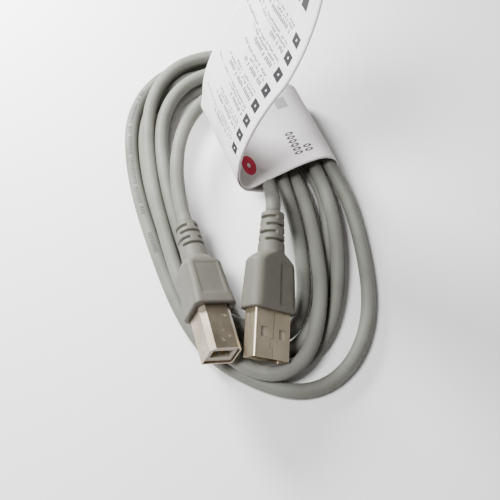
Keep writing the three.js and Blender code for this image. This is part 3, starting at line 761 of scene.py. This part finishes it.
def steel_material(name, light, dark, roughness, spots):
    """Nickel-plated sheet with rubbed streaks, smudges and small spots."""
    nodes = Nodes(name)
    stretched = nodes.add("ShaderNodeMapping", {"Vector": nodes.place(), "Scale": (1800.0, 120.0, 1800.0)})
    streaks = nodes.noise(scale=1.0, vector=stretched.outputs["Vector"])
    cloud = nodes.noise(scale=160.0, detail=5.0)
    color = nodes.ramp(cloud, [(0.3, dark), (0.68, light)])
    speck = nodes.times(nodes.math("GREATER_THAN", nodes.noise(scale=620.0), 0.68), spots)
    nodes.set("Base Color", nodes.mix(speck, color, dark))
    nodes.set("Metallic", 1.0)
    rubbed = nodes.range(streaks, roughness - 0.06, roughness + 0.08)
    nodes.set("Roughness", nodes.math("ADD", rubbed, speck))
    nodes.bump(nodes.math("ADD", streaks, nodes.times(cloud, 2.0)), distance=0.00002, strength=0.5)
    return nodes.material


def plastic_material(name, light, dark, roughness, scale=300.0):
    nodes = Nodes(name)
    nodes.set("Base Color", nodes.ramp(nodes.noise(scale, detail=4.0), [(0.3, dark), (0.7, light)]))
    nodes.set("Roughness", nodes.range(nodes.noise(scale=1200.0), roughness - 0.06, roughness + 0.08))
    nodes.bump(nodes.noise(scale=2000.0, detail=2.0), distance=0.00003, strength=0.3)
    return nodes.material


def paper_nodes(name):
    nodes = Nodes(name)
    fibre = nodes.noise(scale=2400.0, detail=5.0)
    tone = nodes.noise(scale=40.0, detail=2.0)
    color = nodes.ramp(tone, [(0.3, PAPER_DARK), (0.7, PAPER_LIGHT)])
    nodes.set("Roughness", nodes.range(fibre, 0.46, 0.64))
    nodes.set("Specular IOR Level", 0.2)
    nodes.bump(fibre, distance=0.00003, strength=0.35)
    return nodes, nodes.mix(nodes.range(fibre, 0.0, 0.12), color, PAPER_FIBRE)


def paper_material():
    nodes, color = paper_nodes("label_paper")
    nodes.set("Base Color", color)
    return nodes.material


def text_line(nodes, part, v, number, in_row, per_mm, seed, longest):
    """A line of letter-like strokes across the paper, in the share of a row that in_row gives."""
    letter = nodes.times(v, per_mm)
    draw = nodes.random(nodes.math("ADD", nodes.math("FLOOR", letter), nodes.times(number, seed)))
    row_draw = nodes.random(nodes.math("ADD", nodes.times(number, TEXT_SEED_STEP), seed))
    ends = nodes.range(row_draw, TEXT_SHORTEST, longest)
    height = nodes.math("ADD", part, nodes.times(nodes.math("SUBTRACT", draw, 0.5), LETTER_RISE))
    return nodes.times(
        nodes.math("GREATER_THAN", draw, LETTERS_LEFT_OUT),
        nodes.math("LESS_THAN", v, ends),
        nodes.math("GREATER_THAN", v, TEXT_START),
        nodes.between(nodes.math("FRACT", letter), *LETTER),
        nodes.between(height, *in_row),
    )


def printed_material():
    """The paper's outer side with rows of plain marks: u is up the flag from its fold, v along the band."""
    nodes, paper = paper_nodes("label_paper_printed")
    u, v = nodes.uv("paper")
    row = nodes.math("DIVIDE", nodes.math("ADD", u, ICON_SHIFT), ICON_PITCH)
    part = nodes.math("FRACT", row)
    number = nodes.math("FLOOR", row)
    icon = nodes.times(nodes.between(part, *ICON_UP), nodes.between(v, *ICON_ACROSS))
    hole = nodes.times(nodes.between(part, *ICON_HOLE_UP), nodes.between(v, *ICON_HOLE_ACROSS))
    icon = nodes.math("SUBTRACT", icon, hole, clamp=True)
    lines = 0.0
    for *line, ink in TEXT_LINES:
        lines = nodes.math("ADD", lines, nodes.times(text_line(nodes, part, v, number, *line), ink))
    marks = nodes.times(nodes.math("MAXIMUM", icon, lines), nodes.between(u, *ICON_ROWS))
    color = nodes.mix(marks, paper, PRINT_BLACK)
    heading = nodes.times(nodes.between(u, *HEADING_UP), nodes.between(v, *HEADING_ACROSS))
    letters = nodes.math("GREATER_THAN", nodes.math("FRACT", nodes.times(v, HEADING_PER_MM)), HEADING_GAP)
    return nodes, nodes.mix(nodes.times(heading, letters), color, PRINT_BLACK), u, v


def digit_row(nodes, u, v, middle, reach):
    """A row of ring-shaped digits along the band."""
    part = nodes.math("SUBTRACT", nodes.math("FRACT", nodes.times(v, DIGITS_PER_MM)), 0.5)
    across = nodes.times(part, DIGIT_WIDTH)
    up = nodes.times(nodes.math("SUBTRACT", u, middle), DIGIT_HEIGHT)
    spread = nodes.math("ADD", nodes.times(across, across), nodes.times(up, up))
    return nodes.times(nodes.between(spread, *DIGIT_RING), nodes.between(v, *reach))


def label_material(band_u):
    """band_u is where the paper leaves the fold to go over the bundle."""
    nodes, color, u, v = printed_material()
    first, second = (digit_row(nodes, u, v, band_u + up, reach) for up, reach in DIGIT_ROWS)
    color = nodes.mix(nodes.times(nodes.math("ADD", first, second), DIGIT_INK), color, PRINT_BLACK)
    patch_up = nodes.between(u, *(band_u + up for up in PATCH_UP))
    color = nodes.mix(nodes.times(patch_up, nodes.between(v, *PATCH_ACROSS), PATCH_INK), color, PRINT_GREY)
    up = nodes.math("SUBTRACT", u, band_u + RING_UP)
    across = nodes.times(nodes.math("SUBTRACT", v, RING_ACROSS), RING_SQUASH)
    spread = nodes.math("ADD", nodes.times(up, up), nodes.times(across, across))
    color = nodes.mix(nodes.times(nodes.between(spread, *RING_SPREAD), RING_INK), color, PRINT_RED)
    nodes.set("Base Color", color)
    return nodes.material


# ---- pieces ----
def add_cord():
    shown = resample(spline(cord_line(), SHOWN_SPAN), SHOWN_STEP)
    along = arc_lengths(shown)
    place, phase = print_place(shown)
    rings = tube_rings(shown, CABLE_RADIUS, CABLE_SIDES, phase)
    printed = (along[place] - PRINT_BEFORE, along[place] + PRINT_AFTER)
    material = cable_material("cable_vinyl_printed", printed)
    obj = mesh_object("cable", rings.reshape(-1, 3), ring_faces(len(rings), CABLE_SIDES), material)
    tube_uv(obj, along, CABLE_SIDES)
    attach(obj, "lead")
    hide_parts("cable_coil", "cable_lead_a", "cable_lead_b")
    return obj, shown


def print_place(line):
    """The line's point nearest PRINT_UP_AT, and the turn of the tube that brings the print on top there."""
    rings = tube_rings(line, CABLE_RADIUS, CABLE_SIDES)
    nearest = np.argmin(np.linalg.norm(line[:, :2] - PRINT_UP_AT, axis=1))
    top = np.argmax(rings[nearest][:, 2])
    return nearest, (top / CABLE_SIDES - PRINT_MIDDLE) * 2 * math.pi


def relief_radius(plug, y):
    share = (y - relief_front(plug)) / plug["relief_length"]
    return plug["relief_front"] + (plug["relief_rear"] - plug["relief_front"]) * share


def slot_depth(plug, y, angle):
    """How deep the slots cut at that place of the strain relief."""
    deepest = 0.0
    for row in range(SLOT_ROWS):
        slot_to = relief_rear(plug) - SLOT_FROM_REAR - row * SLOT_PITCH
        slot_from = slot_to - SLOT_WIDTH
        edge = min(y - slot_from, slot_to - y)
        radius = relief_radius(plug, y)
        across = math.sin(angle) if row % 2 else math.cos(angle)
        past = abs(across) * radius - SLOT_BRIDGE / 2
        share = min(1.0, max(0.0, edge / SLOT_EASE)) * min(1.0, max(0.0, past / SLOT_EASE))
        deepest = max(deepest, share * (radius - SLOT_FLOOR))
    return deepest


def add_relief(plug, material):
    """The strain relief as one sleeve whose slots go down to the cable."""
    rear = relief_rear(plug)
    angles = np.linspace(0.0, 2 * math.pi, RELIEF_SIDES, endpoint=False)
    rings = []
    for y in np.linspace(plug["length"], rear, RELIEF_STEPS):
        edge = min(1.0, (rear - y) / LIP_LENGTH)
        lip = LIP_DROP * (1 - math.sqrt(max(0.0, 1 - (1 - edge) ** 2)))
        radii = [relief_radius(plug, y) - slot_depth(plug, y, angle) - lip for angle in angles]
        rings.append([[r * math.cos(a), y, r * math.sin(a)] for r, a in zip(radii, angles)])
    for y in (rear, rear - RELIEF_MOUTH):
        rings.append([[RELIEF_INSIDE * math.cos(a), y, RELIEF_INSIDE * math.sin(a)] for a in angles])
    points = plug_points(plug, np.array(rings).reshape(-1, 3))
    faces = [tuple(reversed(f)) for f in ring_faces(len(rings), RELIEF_SIDES, closed=False)]
    obj = mesh_object(f"{plug['name']}_relief_soft", points, faces, material)
    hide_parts(f"{plug['name']}_strain_relief")
    bend(obj)


def bend(obj):
    """Bakes the piece's placing into its points; the piece is not bent."""
    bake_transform(obj)


def add_cable_end(plug, material):
    stations = np.linspace(plug["cable_front"], relief_rear(plug), CABLE_END_STEPS)
    line = np.array([[0, y, 0] for y in stations])
    rings = tube_rings(line, CABLE_RADIUS, CABLE_SIDES)
    points = plug_points(plug, rings.reshape(-1, 3))
    obj = mesh_object(f"{plug['name']}_cable_soft", points, ring_faces(len(rings), CABLE_SIDES), material)
    tube_uv(obj, arc_lengths(line), CABLE_SIDES)
    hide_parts(f"{plug['name']}_cable_end")
    bend(obj)


def rounded_section(width, height, corner, count):
    """Points round a rectangle with round corners, evenly spaced, from the middle of its right side."""
    x, z = width / 2 - corner, height / 2 - corner
    outline = []
    for quarter, (cx, cz) in enumerate([(x, z), (-x, z), (-x, -z), (x, -z)]):
        for step in range(CORNER_STEPS + 1):
            angle = (quarter + step / CORNER_STEPS) * math.pi / 2
            outline.append([cx + corner * math.cos(angle), cz + corner * math.sin(angle)])
    outline = np.array([[width / 2, 0.0], *outline, [width / 2, 0.0]])
    along = arc_lengths(outline)
    at = np.linspace(0.0, along[-1], count, endpoint=False)
    return np.stack([np.interp(at, along, outline[:, k]) for k in range(2)], axis=1)


def smooth_step(value):
    t = min(1.0, max(0.0, value))
    return t * t * (3 - 2 * t)


def grip_rings(plug):
    """The grip from its front face to the shoulder that narrows to the strain relief."""
    length = relief_front(plug) - FIT_GAP
    round_stations = [k * math.pi / (2 * GRIP_EDGE_RINGS) for k in range(1, GRIP_EDGE_RINGS + 1)]
    stations = [GRIP_EDGE * (1 - math.cos(angle)) for angle in round_stations]
    stations += list(np.linspace(GRIP_EDGE, length - SHOULDER, GRIP_RINGS)[1:])
    stations += list(np.linspace(length - SHOULDER, length, SHOULDER_RINGS)[1:])
    rings = []
    for y in stations:
        share = min(1.0, y / plug["length"])
        scale = 1 + (plug["rear_scale"] - 1) * share
        waist = 1 - plug["waist"] * math.sin(math.pi * share)
        inset = GRIP_EDGE * (1 - math.sqrt(max(0.0, 1 - (1 - min(1.0, y / GRIP_EDGE)) ** 2)))
        width = plug["width"] * scale * waist - 2 * inset
        height = plug["height"] * scale - 2 * inset
        ending = smooth_step((y - (length - SHOULDER)) / SHOULDER)
        bulge = math.sqrt(max(0.0, 1 - ending**2)) * SHOULDER_ROUND + (1 - ending) * (1 - SHOULDER_ROUND)
        across = 2 * plug["relief_front"]
        width = across + (width - across) * bulge
        height = across + (height - across) * bulge
        roundest = min(width, height) / 2 - CORNER_EASE
        corner = min(plug["corner"] + (roundest - plug["corner"]) * ending, roundest)
        rings.append([[x, y, z] for x, z in rounded_section(width, height, corner, GRIP_SIDES)])
    return np.array(rings)


def carve_panel(plug, rings):
    """Sinks the flat panel on the grip's upper face, with a fine step round it."""
    x_from, x_to, y_from, y_to = plug["panel"]
    for ring in rings:
        for point in ring:
            if point[2] <= 0 or abs(point[2]) < plug["height"] * PANEL_FROM:
                continue
            inside = min(point[0] - x_from, x_to - point[0], point[1] - y_from, y_to - point[1])
            point[2] -= plug["panel_depth"] * smooth_step(inside / PANEL_EDGE + 0.5)
    return rings


def add_grip(plug, material):
    seat_corner = max(plug["shell_corner"], plug["shell_cut"]) + SEAT_CORNER
    seat_size = (plug["shell_width"] + FIT_GAP, plug["shell_height"] + FIT_GAP)
    seat = rounded_section(*seat_size, seat_corner, GRIP_SIDES)
    deep, front = (np.array([[[x, y, z] for x, z in seat]]) for y in (SEAT_DEPTH, 0.0))
    rings = grip_rings(plug)
    face = rings[0].copy()
    face[:, 1] = 0.0
    everything = np.concatenate([deep, front, (front + face[None] * 3) / 4, carve_panel(plug, rings)])
    points = plug_points(plug, everything.reshape(-1, 3))
    faces = [tuple(reversed(f)) for f in ring_faces(len(everything), GRIP_SIDES, closed=False)]
    obj = mesh_object(f"{plug['name']}_grip", points, faces, material)
    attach(obj, plug["name"])
    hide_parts(f"{plug['name']}_overmould")
    return obj


def side_shift(line, shift):
    """The line moved sideways by shift, to its left seen along it."""
    along = np.gradient(line, axis=0)
    along /= np.linalg.norm(along, axis=1)[:, None]
    normal = np.stack([-along[:, 1], along[:, 0]], axis=1)
    shift = np.broadcast_to(shift, (len(line),))
    return line + normal * shift[:, None]


def paper_line():
    """The strip's middle line in the band's section, from the right leaf's end round to the left's."""
    flag = spline(np.array(FLAG_PROFILE, float) + FLAG_ROOT, PAPER_SPAN)
    right = side_shift(flag, LEAF_SHIFT)[FOLD_TRIM:][::-1]
    apart = LEAF_GAP + FOLD_GAP * np.exp(-arc_lengths(flag) / FOLD_FADE)
    left = side_shift(flag, apart)[FOLD_TRIM:]
    whole = np.vstack([right, spline(BAND_PROFILE, PAPER_SPAN)[FOLD_TRIM:-1], left])
    return resample(whole, PAPER_STEP), arc_lengths(right)[-1], arc_lengths(left)[-1]


def paper_point(x, z, v, s, fold, end):
    """The strip's point at v along the band and s along the strip, with its waves and the flag's curl."""
    wave = sum(height * math.sin(v * turn + s * run + start) for height, turn, run, start in WAVES)
    if z <= WAVE_FROM and end - fold - WAVE_PAST_FOLD <= s <= fold + WAVE_PAST_FOLD:
        wave *= FLAT_WAVE
    if z < FLAT_BELOW:
        wave = 0.0
    curl = CURL * smooth_step(2 * v / BAND_LENGTH) * smooth_step((z - FLAG_FROM) / CURL_LENGTH)
    across = wave * FLAG_WAVE + curl if z > FLAG_FROM else 0.0
    up = wave * BAND_WAVE if BAND_FROM < z < FLAG_FROM else 0.0
    return band_point(x + across, v, z + up)


def strip_faces(rows, columns):
    """The strip's faces, on both its sides and round its rim, and which of them are printed."""
    inner = rows * columns
    faces, printed = [], []
    for i in range(rows - 1):
        for j in range(columns - 1):
            a, b = i * columns + j, i * columns + j + 1
            c, d = b + columns, a + columns
            faces += [(a, d, c, b), (a + inner, b + inner, c + inner, d + inner)]
            printed += [1, 0]
    rim = [i * columns for i in range(rows)] + [(rows - 1) * columns + j for j in range(1, columns)]
    rim += [i * columns + columns - 1 for i in range(rows - 2, -1, -1)] + list(range(columns - 2, 0, -1))
    for a, b in zip(rim, [*rim[1:], rim[0]]):
        faces.append((a, a + inner, b + inner, b))
        printed.append(0)
    return faces, printed


def add_label():
    line, right_length, left_length = paper_line()
    across = np.linspace(-BAND_LENGTH / 2, BAND_LENGTH / 2, PAPER_COLUMNS)
    along = arc_lengths(line)
    fold = along[-1] - left_length
    grid = []
    for layer in (side_shift(line, PAPER / 2), side_shift(line, -PAPER / 2)):
        for (x, z), s in zip(layer, along):
            grid += [paper_point(x, z, v, s, fold, along[-1]) for v in across]
    faces, printed_faces = strip_faces(len(line), PAPER_COLUMNS)
    obj = mesh_object("label_paper", np.array(grid), faces, paper_material())
    obj.data.materials.append(label_material(float(right_length - fold)))
    obj.data.polygons.foreach_set("material_index", printed_faces)
    uv = obj.data.uv_layers.new(name="paper")
    values = np.zeros((len(obj.data.loops), 2), np.float32)
    for loop in obj.data.loops:
        row, column = divmod(loop.vertex_index % (len(grid) // 2), PAPER_COLUMNS)
        values[loop.index] = (along[row] - fold, across[column])
    uv.data.foreach_set("uv", values.ravel())
    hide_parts("label_band", "label_flag_front", "label_flag_back")
    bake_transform(obj)


def paint(node, material):
    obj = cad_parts[node]
    obj.data.materials.clear()
    obj.data.materials.append(material)


def paint_cad_nodes():
    painted_lit_steel = (PAINTED_LIT_STEEL_LIGHT, PAINTED_LIT_STEEL_DARK)
    # painted light: plug A's shell takes a lighter copy of the shell steel, for the light falling on it
    shell_a = steel_material("plug_a_nickel_painted_lit", *painted_lit_steel, roughness=0.42, spots=0.15)
    shell_b = steel_material("plug_b_nickel", STEEL_LIGHT, STEEL_DARK, roughness=0.4, spots=0.3)
    crimp = steel_material("crimp_steel", CRIMP_LIGHT, CRIMP_DARK, roughness=0.4, spots=0.1)
    gold = steel_material("contact_gold", GOLD_LIGHT, GOLD_DARK, roughness=0.3, spots=0.1)
    insulator = plastic_material("insulator_plastic", INSULATOR_LIGHT, INSULATOR_DARK, roughness=0.5)
    mould = plastic_material("inner_mould_plastic", MOULD_LIGHT, MOULD_DARK, roughness=0.6)
    wires = {
        colour: plastic_material(f"wire_{colour}", *tones, roughness=0.45, scale=700.0)
        for colour, tones in WIRE_COLOURS.items()
    }
    for plug, shell in (("plug_a", shell_a), ("plug_b", shell_b)):
        paint(f"{plug}_shell", shell)
        paint(f"{plug}_insulator", insulator)
        paint(f"{plug}_inner_mould", mould)
        paint(f"{plug}_crimp_ring", crimp)
        for number in range(1, CONTACTS + 1):
            paint(f"{plug}_contact_{number}", gold)
        for colour, material in wires.items():
            paint(f"{plug}_wire_{colour}", material)


# ---- stage ----
def add_floor():
    nodes = Nodes("floor_pale")
    tone = nodes.noise(scale=6.0, detail=2.0)
    nodes.set("Base Color", nodes.ramp(tone, [(0.3, FLOOR_DARK), (0.7, FLOOR_LIGHT)]))
    nodes.set("Roughness", 0.8)
    nodes.set("Specular IOR Level", 0.1)
    points = [(x * FLOOR_HALF, y * FLOOR_HALF, 0.0) for x, y in ((-1, -1), (1, -1), (1, 1), (-1, 1))]
    floor = mesh_object("floor", points, [(0, 1, 2, 3)], nodes.material)
    floor.location.z = -FLOOR_DROP


def add_light(name, place, aim, size, watts, color):
    data = bpy.data.lights.new(name, "AREA")
    data.shape = "DISK"
    data.size = size
    data.energy = watts
    data.color = color
    light = bpy.data.objects.new(name, data)
    light.location = place
    light.rotation_euler = (Vector(aim) - Vector(place)).to_track_quat("-Z", "Y").to_euler()
    bpy.context.scene.collection.objects.link(light)


def add_lights():
    world = bpy.data.worlds.new("studio")
    world.use_nodes = True
    background = world.node_tree.nodes["Background"]
    background.inputs["Color"].default_value = WORLD_COLOUR
    background.inputs["Strength"].default_value = WORLD_STRENGTH
    bpy.context.scene.world = world
    add_light("key", **KEY_LIGHT)
    add_light("side", **SIDE_LIGHT)


def main():
    add_camera()
    jacket = cable_material()
    cord, line = add_cord()
    grip_vinyl = grip_material("grip_vinyl", GRIP_LIGHT, GRIP_DARK)
    for plug in (PLUG_A, PLUG_B):
        add_cable_end(plug, jacket)
        add_relief(plug, grip_vinyl)
        add_grip(plug, grip_vinyl)
    add_label()
    paint_cad_nodes()
    add_floor()
    add_lights()


main()
